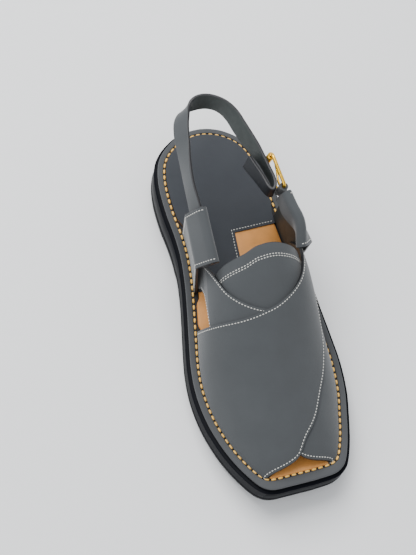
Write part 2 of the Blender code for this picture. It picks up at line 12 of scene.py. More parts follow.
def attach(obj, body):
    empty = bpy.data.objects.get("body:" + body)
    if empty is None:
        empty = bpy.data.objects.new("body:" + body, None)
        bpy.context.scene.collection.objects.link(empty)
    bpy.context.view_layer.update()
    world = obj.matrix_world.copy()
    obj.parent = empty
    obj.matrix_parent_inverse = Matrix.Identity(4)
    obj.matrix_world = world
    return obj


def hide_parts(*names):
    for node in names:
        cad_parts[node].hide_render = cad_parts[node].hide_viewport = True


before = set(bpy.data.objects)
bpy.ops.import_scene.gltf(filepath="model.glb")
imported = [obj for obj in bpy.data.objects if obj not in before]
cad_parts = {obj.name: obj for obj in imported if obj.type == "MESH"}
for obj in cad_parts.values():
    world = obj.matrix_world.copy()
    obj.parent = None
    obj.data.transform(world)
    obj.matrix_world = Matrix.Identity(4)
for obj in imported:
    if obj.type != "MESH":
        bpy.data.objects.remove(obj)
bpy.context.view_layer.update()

# Sole, upper, strap and buckle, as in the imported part
LENGTH = 0.286
BALL_HALF = 0.055
WALL_FLARE = 0.0030
HEEL_HEIGHT = 0.0285
TOE_SPRING = 0.0095
ARCH_RISE = 0.0045
CLEARANCE = 0.0003
WELT_THICK = 0.0026
LIP_WIDTH = 0.0052          # the welt from its edge to the groove
CHANNEL_WIDTH = 0.0040
FOOT_ROOM = 0.0007
CHANNEL_DEPTH = 0.0011
INSOLE_THICK = 0.0034
SOCK_THICK = 0.0009
WALL = 0.0021
LAYER_STEP = 0.0013
CLIMB = 0.10                # share of the arch in which the over panel climbs to its layer
INSTEP_HEIGHT = 0.0660
TONGUE_WALL = 0.0022
STRAP_WIDTH = 0.0130
STRAP_THICK = 0.0024
STRAP_HEIGHT = 0.0880
LOOP_WALL = 0.0024
LOOP_GAP = 0.0005
WIRE = 0.0026
PRONG_WIRE = 0.0018
BUCKLE_LENGTH = 0.0245
BUCKLE_HEIGHT = 0.0180
BUCKLE_CORNER = 0.0030
ROLLER_RADIUS = 0.0027
BAR_REACH = 0.0042          # from the outer loop's mouth to the buckle's front bar
TUCK_START = 0.67           # share of the arch where a panel's narrow end starts to drop
TUCK_END = 0.80
INNER_LOOP_FOOT = (0.453, 0.285)
OUTER_LOOP_FOOT = (0.434, 0.290)

# Details that only the shown meshes have
SOCK_GAP = 0.00005
SOCK_INSET = -0.0005        # below zero: the sock reaches over the insole's edge
SOCK_ROUND = 0.0003
STRAP_CORNER = 0.0007
STRAP_FACE = 0.0001         # a face this near the strap's flat sides takes their look
ROLLER_ROUND = 0.0004
PRONG_STRAIGHT = 0.004
PRONG_BEND = (0.60, 0.55)   # shares of the buckle's length and of the height over the roller

# Fineness of the shown meshes
RING_STEPS = 12             # pieces between two rows of a table
PANEL_GRID = (130, 100)
PANEL_SPREAD = 1.5          # power that spreads a panel's rows at its broad end
EDGE_CURVE_STEPS = 16
TONGUE_GRID = (80, 44)
SOCK_ROWS = (60, 40)        # behind the step, and along it
SOCK_COLUMNS = 40
SOCK_LINE_POINTS = 30
LOOP_STEPS = 12
FOLD_STEPS = 5
LOOP_WALL_ROWS = 14
LOOP_WALL_START = 0.08
WIRE_SIDES = 20
ROLLER_SIDES = 32
CORNER_STEPS = 8
EDGE_ROUND = 0.0007
LEAST_ADVANCE = 1e-6        # a point of an edge that advances less than this is skipped

# Stitches
WELT_PITCH = 0.0050
WELT_DASH = 0.0037
WELT_CORD = 0.00082
WELT_CORD_FLAT = 0.85
WELT_STITCH_OFF = 0.0010    # from the rim to the middle of the stitches
WELT_STITCH_LOW = 0.0002
WELT_STITCH_SINK = 0.0007
EDGE_PITCH = 0.0023
EDGE_DASH = 0.0015
EDGE_THREAD = 0.00034
EDGE_THREAD_FLAT = 0.9
EDGE_THREAD_LIFT = 0.00005
EDGE_THREAD_SINK = 0.0003
EDGE_INSET = 0.0020
LOOP_INSET = 0.0026
TONGUE_INSETS = (0.0086, 0.0103)
PANEL_LINE_ENDS = (3, 6)    # grid points left without stitches at a line's two ends
LINE_END = 2
DASH_SIDES = 8
DASH_STATIONS = (-0.5, -0.46, -0.36, -0.2, 0.0, 0.2, 0.36, 0.46, 0.5)
DASH_WIDTHS = (0.05, 0.55, 0.86, 1.0, 1.0, 1.0, 0.86, 0.55, 0.05)
DASH_DROPS = (1.0, 0.72, 0.32, 0.06, 0.0, 0.06, 0.32, 0.72, 1.0)
HEADING = 0.0004            # reach either way over which a thread's direction is read

# Camera: the photo is 416 x 555 pixels, and these give its angle to the shoe
PHOTO_HEIGHT = 555.0
FOCAL_PIXELS = 1250.0
CAMERA_TILT = (13.0, 20.0)  # degrees towards the inner side and towards the toe
CAMERA_ROLL = -16.5046
CAMERA_DISTANCE = 0.92764
CAMERA_SHIFT = (-0.02853, 0.01667)
CAMERA_AIM_HEIGHT = 0.025
SENSOR = 36.0

# Floor, room light, and lamps as place, size in metres and power in watts
FLOOR_HALF = 6.0
ROOM_COLOUR = (0.93, 0.96, 1.0, 1.0)
ROOM_STRENGTH = 0.74
LIGHT_AIM = (0.0, 0.0, 0.03)
KEY_LIGHT = ((-0.15, 0.75, 1.25), 1.1, 27.0)
FILL_LIGHT = ((-1.1, -0.5, 0.9), 1.2, 7.0)

# Colours: linear red, green and blue
UPPER_GREY = (0.052, 0.057, 0.061)
SOCK_GREY = (0.034, 0.038, 0.045)
RIM_GREY = (0.060, 0.063, 0.067)
LINING_GREY = (0.050, 0.055, 0.052)
STRAP_INSIDE_GREY = (0.028, 0.034, 0.033)
EDGE_BLACK = (0.010, 0.010, 0.012)
# painted shade: near-black for the welt's groove and the lower part of its rim's outer face
GROOVE_PAINTED_SHADE = (0.014, 0.014, 0.016)
# painted shade: near-black on the flat faces of the strap's tail, which has turned back at the
# buckle
TAIL_PAINTED_SHADE = (0.005, 0.007, 0.011)
RUBBER_BLACK = (0.0018, 0.0024, 0.0048)
BOTTOM_BLACK = (0.0035, 0.0042, 0.0064)
TAN = (0.640, 0.270, 0.060)
WELT_THREAD_YELLOW = (0.920, 0.540, 0.120)
EDGE_THREAD_GREY = (0.620, 0.610, 0.570)
BRASS_YELLOW = (0.950, 0.560, 0.050)
BRASS_ROUGHNESS = (0.14, 0.30)
FLOOR_WHITE = (0.90, 0.905, 0.91)

# Tables. "along" is a share of the length from the heel, "across" of BALL_HALF for the sole and
# the strap, and of the arch from the inner welt (-1) to the outer (+1) for the upper.
INNER_EDGE = [
    ("along", "across"),
    (0.000, -0.05), (0.005, -0.19), (0.019, -0.365), (0.048, -0.555), (0.086, -0.680),
    (0.145, -0.745), (0.220, -0.750), (0.290, -0.718), (0.350, -0.712), (0.420, -0.750),
    (0.490, -0.815), (0.565, -0.895), (0.645, -0.975), (0.715, -1.000), (0.790, -0.965),
    (0.860, -0.875), (0.915, -0.765), (0.965, -0.625), (0.989, -0.520), (0.999, -0.390),
    (1.000, -0.150),
]
OUTER_EDGE = [
    ("along", "across"),
    (0.000, 0.05), (0.005, 0.19), (0.019, 0.365), (0.048, 0.555), (0.086, 0.680), (0.145, 0.765),
    (0.220, 0.815), (0.290, 0.850), (0.350, 0.880), (0.420, 0.910), (0.490, 0.940),
    (0.565, 0.965), (0.645, 0.988), (0.715, 0.995), (0.790, 0.950), (0.860, 0.850),
    (0.915, 0.755), (0.960, 0.650), (0.983, 0.560), (0.996, 0.420), (1.000, 0.150),
]
# Shares of HEEL_HEIGHT
SOLE_TOP = [
    ("along", "height"),
    (0.00, 1.000), (0.13, 0.995), (0.25, 0.945), (0.38, 0.810), (0.52, 0.680),
    (0.63, 0.625), (0.73, 0.620), (0.82, 0.690), (0.91, 0.830), (1.00, 1.035),
]
# Shares of ARCH_RISE and TOE_SPRING
SOLE_BOTTOM = [
    ("along", "arch", "spring"),
    (0.000, 0.0, 0.00), (0.355, 0.0, 0.00), (0.385, 1.0, 0.00), (0.470, 0.9, 0.00),
    (0.570, 0.0, 0.00), (0.745, 0.0, 0.00), (0.830, 0.0, 0.18), (0.915, 0.0, 0.50),
    (1.000, 0.0, 1.00),
]
# Section of the sole's wall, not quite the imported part's: shares of its height and WALL_FLARE
SOLE_WALL = [
    ("up", "out"),
    (0.00, 0.50), (0.02, 0.78), (0.06, 0.96), (0.22, 1.00), (0.245, 0.98), (0.265, 0.80),
    (0.285, 0.80), (0.31, 0.93), (0.55, 0.80), (0.78, 0.63), (0.80, 0.50), (0.82, 0.60),
    (0.84, 0.82), (0.87, 0.88), (0.90, 0.82), (0.92, 0.60), (0.94, -0.15), (1.00, -0.25),
]
BOTTOM_LAYER = 0.265        # the sole's bottom layer ends at this share of the wall
# Arch of the upper: share of INSTEP_HEIGHT, and a power that squares the section when below 1
CREST = [
    ("along", "height", "square"),
    (0.120, 0.98, 0.78), (0.360, 0.98, 0.78), (0.430, 0.97, 0.76), (0.500, 0.92, 0.74),
    (0.570, 0.83, 0.84), (0.640, 0.73, 1.00), (0.710, 0.62, 1.14), (0.780, 0.50, 1.20),
    (0.850, 0.385, 1.22), (0.910, 0.265, 1.20), (0.940, 0.190, 1.15), (0.960, 0.110, 1.10),
    (0.971, 0.030, 1.05),
]
# Edges of a crossing panel, laid flat: from its broad end (-1) to its narrow end (+1)
PANEL_BACK = [
    ("across", "along"),
    (-1.00, 0.553), (-0.86, 0.567), (-0.56, 0.586), (-0.25, 0.600), (-0.02, 0.595), (0.16, 0.573),
    (0.36, 0.530), (0.51, 0.482), (0.66, 0.438), (0.82, 0.402), (0.985, 0.378),
]
PANEL_FRONT = [
    ("across", "along"),
    (-1.00, 0.970), (-0.60, 0.963), (-0.22, 0.954), (0.00, 0.938), (0.16, 0.906), (0.34, 0.862),
    (0.46, 0.795), (0.56, 0.736), (0.63, 0.671), (0.655, 0.615), (0.68, 0.565), (0.76, 0.513),
    (0.88, 0.466), (0.985, 0.446),
]
TONGUE_EDGE = [
    ("across", "top", "bottom"),
    (-0.62, 0.476, 0.600), (-0.45, 0.461, 0.655), (-0.14, 0.453, 0.670), (0.04, 0.438, 0.670),
    (0.32, 0.443, 0.665), (0.66, 0.452, 0.600),
]
SOCK_FRONT = [
    ("across", "along"),
    (1.10, 0.312), (0.10, 0.315), (0.06, 0.452), (-1.10, 0.452),
]
# Middle line of the strap: share of STRAP_HEIGHT, and its lean in degrees
STRAP_ROUTE = [
    ("across", "along", "height", "side", "back"),
    (-0.590, 0.450, 0.850, 34, 0), (-0.585, 0.381, 0.905, 30, 0), (-0.568, 0.312, 0.942, 27, 0),
    (-0.560, 0.245, 0.966, 20, 0), (-0.535, 0.190, 0.983, 25, 0), (-0.500, 0.139, 0.994, 38, 0),
    (-0.475, 0.102, 1.000, 48, 0), (-0.425, 0.068, 1.000, 50, 6), (-0.340, 0.043, 1.000, 40, 14),
    (-0.220, 0.029, 1.000, 22, 20), (-0.085, 0.025, 1.000, 8, 22), (0.055, 0.033, 1.000, 8, 20),
    (0.175, 0.052, 1.000, 22, 12), (0.255, 0.080, 1.000, 32, 5), (0.305, 0.115, 0.998, 36, 0),
    (0.360, 0.150, 0.991, 32, 0), (0.417, 0.182, 0.986, 20, 0), (0.466, 0.214, 0.981, 6, 0),
    (0.508, 0.250, 0.972, 0, 0), (0.532, 0.276, 0.966, -2, 0), (0.520, 0.296, 0.964, -2, 0),
    (0.472, 0.306, 0.962, 0, 0), (0.424, 0.296, 0.960, 2, 0), (0.376, 0.262, 0.952, 10, 0),
    (0.315, 0.222, 0.938, 16, 0), (0.290, 0.205, 0.933, 18, 0),
]
OUTER_LOOP_ROUTE = [
    ("across", "along", "height", "side", "back"),
    (0.748, 0.445, 0.803, -37, 0), (0.728, 0.395, 0.880, -10, 0), (0.662, 0.354, 0.906, 4, 0),
    (0.632, 0.314, 0.928, 2, 0),
]
INNER_LOOP_ROWS = 3         # rows of the strap's route that the inner loop follows
TAIL_ROW = 20               # row of the route where the strap has turned back
STRAP_STEPS = 14
# Section of a loop's fold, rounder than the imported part's: shares of half its width and height
LOOP_FOLD = [
    ("out", "up"),
    (-1.00, -0.92), (-1.02, -0.30), (-1.02, 0.50), (-0.92, 0.84), (-0.60, 1.04),
    (0.00, 1.11), (0.60, 1.04), (0.92, 0.84), (1.02, 0.50), (1.02, -0.30), (0.98, -0.95),
]
# Width of the welt's grey rim, in metres
RIM = [
    ("along", "width"),
    (0.00, 0.0042), (0.20, 0.0040), (0.50, 0.0042), (0.80, 0.0044), (0.92, 0.0046),
    (0.965, 0.0050), (1.00, 0.0066),
]
# From the welt's edge to the insole, in metres. The insole reaches further out where no leather
# stands in the groove.
INSOLE_INSET = [
    ("along", "inset"),
    (0.00, 0.0066), (0.25, 0.0066), (0.28, 0.0095), (0.46, 0.0095), (0.475, 0.0074),
    (0.53, 0.0074), (0.545, 0.0095), (0.96, 0.0095), (0.985, 0.0082), (1.00, 0.0082),
]
# Soft creases across the panels: both ends, width and depth in metres, below zero for a ridge
CREASES = [
    ("across", "along", "to_across", "to_along", "width", "depth"),
    (-0.66, 0.700, -0.24, 0.790, 0.0070, 0.0005), (-0.60, 0.735, -0.20, 0.825, 0.0060, -0.0003),
    (-0.50, 0.790, -0.12, 0.865, 0.0060, 0.0004), (0.64, 0.690, 0.26, 0.775, 0.0070, 0.0004),
    (0.56, 0.770, 0.20, 0.850, 0.0060, 0.0003),
]
CREASE_SPAN = (0.1, 0.8)    # where a crease starts on a half wave of depth, and how much it takes


# Curves and heights

def rows(table):
    """Numbers of a table, without its row of headings."""
    return np.array(table[1:], dtype=float)


def smooth(points, steps):
    """Catmull-Rom curve through points, with `steps` pieces between two of them."""
    pts = np.asarray(points, dtype=float)
    ends = np.vstack([2 * pts[0] - pts[1], pts, 2 * pts[-1] - pts[-2]])
    t = (np.arange(steps) / steps)[:, None]
    out = []
    for a, b, c, d in zip(ends, ends[1:], ends[2:], ends[3:]):
        out.append(0.5 * (2 * b + (c - a) * t + (2 * a - 5 * b + 4 * c - d) * t ** 2
                          + (3 * b - a - 3 * c + d) * t ** 3))
    out.append(pts[-1][None])
    return np.vstack(out)


def curve_value(table, column, x):
    """Value of a table's column at x, on a smooth curve through its rows."""
    line = smooth(rows(table)[:, [0, column]], RING_STEPS)
    return np.interp(x, line[:, 0], line[:, 1])


def along(y):
    """Share of the length from the heel at y."""
    return 0.5 - y / LENGTH


def place_y(share):
    return LENGTH * (0.5 - share)


def sole_top(y):
    return HEEL_HEIGHT * curve_value(SOLE_TOP, 1, along(y))


def sole_bottom(y):
    data = rows(SOLE_BOTTOM)
    s = along(y)
    arch = np.interp(s, data[:, 0], data[:, 1])
    spring = np.interp(s, data[:, 0], data[:, 2])
    return ARCH_RISE * arch + TOE_SPRING * spring


def welt_base(y):
    return sole_top(y) + CLEARANCE


def insole_top(y):
    return welt_base(y) + INSOLE_THICK


def channel_floor(y):
    return welt_base(y) + WELT_THICK - CHANNEL_DEPTH


def edge_ring():
    """The welt's edge in plan: inner side from heel to toe, then outer side back."""
    inner = smooth(rows(INNER_EDGE), RING_STEPS)
    outer = smooth(rows(OUTER_EDGE), RING_STEPS)
    ring = np.vstack([inner, outer[::-1]])
    return np.column_stack([ring[:, 1] * BALL_HALF, place_y(ring[:, 0])])


def offset_ring(out):
    """The welt's edge moved outward by `out`, one number or one for each point."""
    ring = edge_ring()
    tangent = np.roll(ring, -1, axis=0) - np.roll(ring, 1, axis=0)
    tangent /= np.linalg.norm(tangent, axis=1)[:, None]
    normal = np.column_stack([tangent[:, 1], -tangent[:, 0]])
    return ring + normal * np.reshape(out, (-1, 1))


def side_line(ring, side):
    """One side of a ring (-1 inner, +1 outer) from heel to toe."""
    half = len(ring) // 2
    part = ring[:half] if side < 0 else ring[half:][::-1]
    keep = [part[0]]
    for point in part[1:]:
        if point[1] < keep[-1][1] - LEAST_ADVANCE:
            keep.append(point)
    return np.array(keep)


def half_width(y, side, inset):
    """Distance of the inset edge from the middle line at y, on one side (-1 or +1)."""
    line = side_line(offset_ring(-inset), side)
    return np.interp(-y, -line[:, 1], line[:, 0])


def arch_points(share, across, grow):
    """Points of the upper at (share of the length, -1 inner welt to +1 outer welt)."""
    y = place_y(share)
    foot = LIP_WIDTH + CHANNEL_WIDTH - FOOT_ROOM
    left = half_width(y, -1, foot)
    right = half_width(y, 1, foot)
    middle = 0.5 * (left + right)
    half = 0.5 * (right - left) + grow
    crest = INSTEP_HEIGHT * curve_value(CREST, 1, share) + grow
    square = curve_value(CREST, 2, share)
    turn = np.cos(0.5 * math.pi * (across + 1.0))
    reach = -np.sign(turn) * np.abs(turn) ** square
    rise = np.sqrt(np.clip(1.0 - turn ** 2, 0.0, 1.0)) ** square
    floor = channel_floor(y) + CLEARANCE
    return np.stack([middle + half * reach, y, floor + crest * rise], axis=-1)


# Meshes

def mesh_object(name, verts, faces, materials, face_slots=None, angle=40.0):
    """A shown mesh, smooth except at edges sharper than `angle` degrees."""
    mesh = bpy.data.meshes.new(name)
    mesh.from_pydata([tuple(v) for v in verts], [], [tuple(f) for f in faces])
    for mat in materials:
        mesh.materials.append(mat)
    if face_slots is not None:
        mesh.polygons.foreach_set("material_index", np.asarray(face_slots, dtype=np.int32))
    mesh.shade_smooth()
    mesh.set_sharp_from_angle(angle=math.radians(angle))
    obj = bpy.data.objects.new(name, mesh)
    bpy.context.scene.collection.objects.link(obj)
    return obj


def bevel(obj, width, slot):
    """Round the sharp edges of an object. The rounding takes the material of `slot`."""
    mod = obj.modifiers.new("rounded_edges", "BEVEL")
    mod.width = width
    mod.segments = 3
    mod.limit_method = "ANGLE"
    mod.angle_limit = math.radians(50.0)
    mod.material = slot
    mod.use_clamp_overlap = True


def shell(grid_low, grid_high):
    """A closed shell between two grids: points, faces, and slots 0 outside, 1 rim, 2 inside."""
    nu, nv = grid_low.shape[:2]
    verts = np.vstack([grid_low.reshape(-1, 3), grid_high.reshape(-1, 3)])
    top = nu * nv
    faces, slots = [], []
    for i in range(nu - 1):
        for j in range(nv - 1):
            a, b, c, d = i * nv + j, i * nv + j + 1, (i + 1) * nv + j + 1, (i + 1) * nv + j
            faces.append((a, b, c, d))
            slots.append(2)
            faces.append((top + d, top + c, top + b, top + a))
            slots.append(0)
    rim = [(0, j) for j in range(nv)]
    rim += [(i, nv - 1) for i in range(1, nu)]
    rim += [(nu - 1, j) for j in range(nv - 2, -1, -1)]
    rim += [(i, 0) for i in range(nu - 2, 0, -1)]
    for (i, j), (k, m) in zip(rim, rim[1:] + rim[:1]):
        a, b = i * nv + j, k * nv + m
        faces.append((a, top + a, top + b, b))
        slots.append(1)
    return verts, faces, slots


def outward(verts, faces):
    """Turn all faces of a closed body over when its volume comes out negative."""
    v = np.asarray(verts, dtype=float)
    volume = 0.0
    for f in faces:
        a = v[f[0]]
        for k in range(1, len(f) - 1):
            volume += a @ np.cross(v[f[k]], v[f[k + 1]])
    return [tuple(reversed(f)) for f in faces] if volume < 0.0 else faces


def shell_object(name, low, high, materials, round_off=EDGE_ROUND):
    """A sheet of leather between two grids, its rim painted and rounded."""
    verts, faces, slots = shell(low, high)
    obj = mesh_object(name, verts, outward(verts, faces), materials, slots)
    bevel(obj, round_off, slot=1)
    return obj


def ring_object(name, levels, materials, slots):
    """Stacked rings, closed below and above by ladders across the foot."""
    count = len(levels[0])
    verts = np.vstack(levels)
    faces, face_slots = [], []
    for k in range(len(levels) - 1):
        for i in range(count):
            j = (i + 1) % count
            faces.append((k * count + i, k * count + j, (k + 1) * count + j, (k + 1) * count + i))
            face_slots.append(slots[k])
    for base, turn in ((0, -1), ((len(levels) - 1) * count, 1)):
        for i in range(count // 2 - 1):
            a, b = base + i, base + i + 1
            c, d = base + count - 2 - i, base + count - 1 - i
            faces.append((a, b, c, d)[::turn])
            face_slots.append(slots[-1])
    return mesh_object(name, verts, outward(verts, faces), materials, face_slots)


def lift(ring, height):
    """Plan points with their heights."""
    return np.column_stack([ring, height])


def by_length(points, pitch, closed=False):
    """Places and directions at an even pitch along a line."""
    pts = np.vstack([points, points[:1]]) if closed else np.asarray(points)
    step = np.linalg.norm(np.diff(pts, axis=0), axis=1)
    run = np.concatenate([[0.0], np.cumsum(step)])
    count = max(2, int(round(run[-1] / pitch)))
    at = (np.arange(count) + 0.5) * run[-1] / count
    place = np.column_stack([np.interp(at, run, pts[:, k]) for k in range(3)])
    near = np.column_stack([np.interp(at + HEADING, run, pts[:, k]) for k in range(3)])
    back = np.column_stack([np.interp(at - HEADING, run, pts[:, k]) for k in range(3)])
    ahead = near - back
    return place, ahead / np.linalg.norm(ahead, axis=1)[:, None]


def dashes(name, place, ahead, up, dash, radius, flat, mat, sink):
    """Many short threads as one mesh: each lies along `ahead`, with rounded, sinking ends."""
    sides = DASH_SIDES
    stations = np.array(DASH_STATIONS) * dash
    widths = np.array(DASH_WIDTHS) * radius
    drops = np.array(DASH_DROPS) * sink
    turns = 2 * math.pi * np.arange(sides) / sides
    side = np.cross(up, ahead)
    side /= np.linalg.norm(side, axis=1)[:, None]
    lifted = np.cross(ahead, side)
    n = len(place)
    rings = []
    for station, width, drop in zip(stations, widths, drops):
        centre = place + ahead * station - lifted * drop
        for turn in turns:
            rings.append(centre + side * (math.cos(turn) * width)
                         + lifted * (math.sin(turn) * width * flat))
    verts = np.stack(rings, axis=1).reshape(-1, 3)
    per = len(stations) * sides
    faces = []
    for k in range(n):
        base = k * per
        for s in range(len(stations) - 1):
            for j in range(sides):
                m = (j + 1) % sides
                faces.append((base + s * sides + j, base + s * sides + m,
                              base + (s + 1) * sides + m, base + (s + 1) * sides + j))
        faces.append(tuple(base + j for j in range(sides))[::-1])
        faces.append(tuple(base + (len(stations) - 1) * sides + j for j in range(sides)))
    return mesh_object(name, verts, faces, [mat], angle=60.0)


# Materials

def new_material(name, colour, roughness, metallic=0.0):
    """A plain surface of one colour."""
    mat = bpy.data.materials.new(name)
    mat.use_nodes = True
    shader = mat.node_tree.nodes["Principled BSDF"]
    shader.inputs["Base Color"].default_value = (*colour, 1.0)
    shader.inputs["Roughness"].default_value = roughness
    shader.inputs["Metallic"].default_value = metallic
    mat.diffuse_color = (*colour, 1.0)
    return mat


def add_noise(mat, scale, detail=3.0):
    """A noise node on the object's own coordinates."""
    tree = mat.node_tree
    coords = tree.nodes.new("ShaderNodeTexCoord")
    noise = tree.nodes.new("ShaderNodeTexNoise")
    noise.inputs["Scale"].default_value = scale
    noise.inputs["Detail"].default_value = detail
    noise.inputs["Roughness"].default_value = 0.55
    tree.links.new(coords.outputs["Object"], noise.inputs["Vector"])
    return noise


def mottle(mat, colour, scale, spread):
    """Lighter and darker patches of a colour, `spread` either way."""
    tree = mat.node_tree
    noise = add_noise(mat, scale)
    ramp = tree.nodes.new("ShaderNodeValToRGB")
    ramp.color_ramp.elements[0].position = 0.30
    ramp.color_ramp.elements[1].position = 0.70
    ramp.color_ramp.elements[0].color = (*[c * (1 - spread) for c in colour], 1.0)
    ramp.color_ramp.elements[1].color = (*[c * (1 + spread) for c in colour], 1.0)
    tree.links.new(noise.outputs["Fac"], ramp.inputs["Fac"])
    tree.links.new(ramp.outputs["Color"], tree.nodes["Principled BSDF"].inputs["Base Color"])


def add_bump(mat, scale, strength, distance):
    """Fine grain on a surface, `distance` metres deep."""
    tree = mat.node_tree
    noise = add_noise(mat, scale, detail=4.0)
    bump = tree.nodes.new("ShaderNodeBump")
    bump.inputs["Strength"].default_value = strength
    bump.inputs["Distance"].default_value = distance
    tree.links.new(noise.outputs["Fac"], bump.inputs["Height"])
    tree.links.new(bump.outputs["Normal"], tree.nodes["Principled BSDF"].inputs["Normal"])


def nubuck(name, colour):
    """Napped leather: mottled, finely grained, with a soft sheen."""
    mat = new_material(name, colour, roughness=0.80)
    mottle(mat, colour, scale=55.0, spread=0.05)
    add_bump(mat, scale=2600.0, strength=0.35, distance=0.0002)
    shader = mat.node_tree.nodes["Principled BSDF"]
    shader.inputs["Sheen Weight"].default_value = 0.25
    shader.inputs["Sheen Roughness"].default_value = 0.5
    shader.inputs["Specular IOR Level"].default_value = 0.30
    return mat


def rubber_surface(name, colour, roughness, specular):
    """Black rubber with a weak gloss."""
    mat = new_material(name, colour, roughness)
    mat.node_tree.nodes["Principled BSDF"].inputs["Specular IOR Level"].default_value = specular
    return mat


upper_grey = nubuck("nubuck_upper", UPPER_GREY)
sock_grey = nubuck("nubuck_sock", SOCK_GREY)
rim_grey = nubuck("nubuck_rim", RIM_GREY)

edge_black = new_material("painted_edge", EDGE_BLACK, roughness=0.45)
add_bump(edge_black, scale=1500.0, strength=0.2, distance=0.0001)
# painted shade in the welt's groove and on the lower part of its rim's outer face
groove_painted_shade = new_material("groove", GROOVE_PAINTED_SHADE, roughness=0.75)
lining = new_material("lining", LINING_GREY, roughness=0.55)
add_bump(lining, scale=1400.0, strength=0.35, distance=0.0002)
strap_inside = new_material("strap_inside", STRAP_INSIDE_GREY, roughness=0.50)
mottle(strap_inside, STRAP_INSIDE_GREY, scale=240.0, spread=0.15)
add_bump(strap_inside, scale=1300.0, strength=0.5, distance=0.0003)

# painted shade on the flat faces of the strap's tail
tail_painted_shade = new_material("tail_painted_shade", TAIL_PAINTED_SHADE, roughness=0.55)
add_bump(tail_painted_shade, scale=1300.0, strength=0.5, distance=0.0002)

tan = new_material("tan_leather", TAN, roughness=0.52)
mottle(tan, TAN, scale=90.0, spread=0.10)
add_bump(tan, scale=1500.0, strength=0.3, distance=0.0002)

rubber = rubber_surface("black_rubber", RUBBER_BLACK, roughness=0.48, specular=0.08)
add_bump(rubber, scale=900.0, strength=0.10, distance=0.0002)
rubber_edge = rubber_surface("rubber_bottom_layer", BOTTOM_BLACK, roughness=0.58, specular=0.10)
add_bump(rubber_edge, scale=1100.0, strength=0.2, distance=0.0002)

welt_thread = new_material("welt_thread", WELT_THREAD_YELLOW, roughness=0.60)
mottle(welt_thread, WELT_THREAD_YELLOW, scale=160.0, spread=0.10)
add_bump(welt_thread, scale=3000.0, strength=0.5, distance=0.0002)
edge_thread = new_material("edge_thread", EDGE_THREAD_GREY, roughness=0.65)
add_bump(edge_thread, scale=4000.0, strength=0.3, distance=0.0001)

brass = new_material("brass", BRASS_YELLOW, roughness=0.20, metallic=1.0)
brass_noise = add_noise(brass, scale=400.0)
brass_range = brass.node_tree.nodes.new("ShaderNodeMapRange")
brass_range.inputs["To Min"].default_value = BRASS_ROUGHNESS[0]
brass_range.inputs["To Max"].default_value = BRASS_ROUGHNESS[1]
brass.node_tree.links.new(brass_noise.outputs["Fac"], brass_range.inputs["Value"])
brass.node_tree.links.new(brass_range.outputs["Result"],
                          brass.node_tree.nodes["Principled BSDF"].inputs["Roughness"])

# Slots of a leather sheet: outside, rim, inside
LEATHER = [upper_grey, edge_black, lining]


# Sole

def make_outsole():
    """The black rubber sole, with its bead, its wall and its bottom layer."""
    levels = []
    for up, out in rows(SOLE_WALL):
        ring = offset_ring(out * WALL_FLARE)
        low, high = sole_bottom(ring[:, 1]), sole_top(ring[:, 1])
        levels.append(lift(ring, low + (high - low) * up))
    slots = [1 if up < BOTTOM_LAYER else 0 for up, out in rows(SOLE_WALL)]
    return ring_object("outsole_shown", levels, [rubber, rubber_edge], slots)


def rim_width(y):
    return curve_value(RIM, 1, along(y))


def insole_inset(y):
    data = rows(INSOLE_INSET)
    return np.interp(along(y), data[:, 0], data[:, 1])


def make_welt():
    """The welt: a rounded grey rim, with painted shade in its groove and on the lower part of the
    rim's outer face.
    """
    y = edge_ring()[:, 1]
    lip = rim_width(y)
    floor_up = (WELT_THICK - CHANNEL_DEPTH) / WELT_THICK
    # share of the rim, 1 at the groove's inner edge, share of the thickness, slot (1 is painted
    # shade)
    section = [
        (0.02, 0.0, 0.00, 1), (0.00, 0.0, 0.30, 1), (0.00, 0.0, 0.66, 0), (0.03, 0.0, 0.84, 0),
        (0.10, 0.0, 0.96, 0), (0.22, 0.0, 1.00, 0), (0.80, 0.0, 1.02, 0), (0.93, 0.0, 0.98, 0),
        (0.99, 0.0, 0.86, 1), (1.02, 0.0, floor_up, 1), (1.0, 1.0, floor_up, 1),
        (1.0, 1.0, 0.0, 1),
    ]
    loops = []
    for rim, channel, up, slot in section:
        out = -(lip * rim) if not channel else np.full(len(y), -LIP_WIDTH - CHANNEL_WIDTH)
        ring = offset_ring(out)
        loops.append(lift(ring, welt_base(ring[:, 1]) + WELT_THICK * up))
    count = len(loops[0])
    verts = np.vstack(loops)
    faces, slots = [], []
    for k in range(len(loops)):
        n = (k + 1) % len(loops)
        for i in range(count):
            j = (i + 1) % count
            faces.append((k * count + i, k * count + j, n * count + j, n * count + i))
            slots.append(section[k][3])
    return mesh_object("welt_shown", verts, outward(verts, faces), [rim_grey, groove_painted_shade], slots)


def make_insole():
    """The tan footbed, rounded at its edge."""
    inset = insole_inset(edge_ring()[:, 1])
    levels = []
    for out, up in ((0.0, 0.5), (0.0, 0.62), (-0.06, 0.82), (-0.16, 0.94), (-0.34, 1.0)):
        ring = offset_ring(-inset + out * INSOLE_THICK)
        levels.append(lift(ring, welt_base(ring[:, 1]) + INSOLE_THICK * up))
    return ring_object("insole_shown", levels, [tan], [0] * len(levels))


def sock_side(y, side):
    """Edge of the heel's sock at y and where its ring begins, a little over the insole's edge."""
    line = side_line(offset_ring(-insole_inset(edge_ring()[:, 1]) - SOCK_INSET), side)
    return np.interp(-y, -line[:, 1], line[:, 0]), line[0, 1]


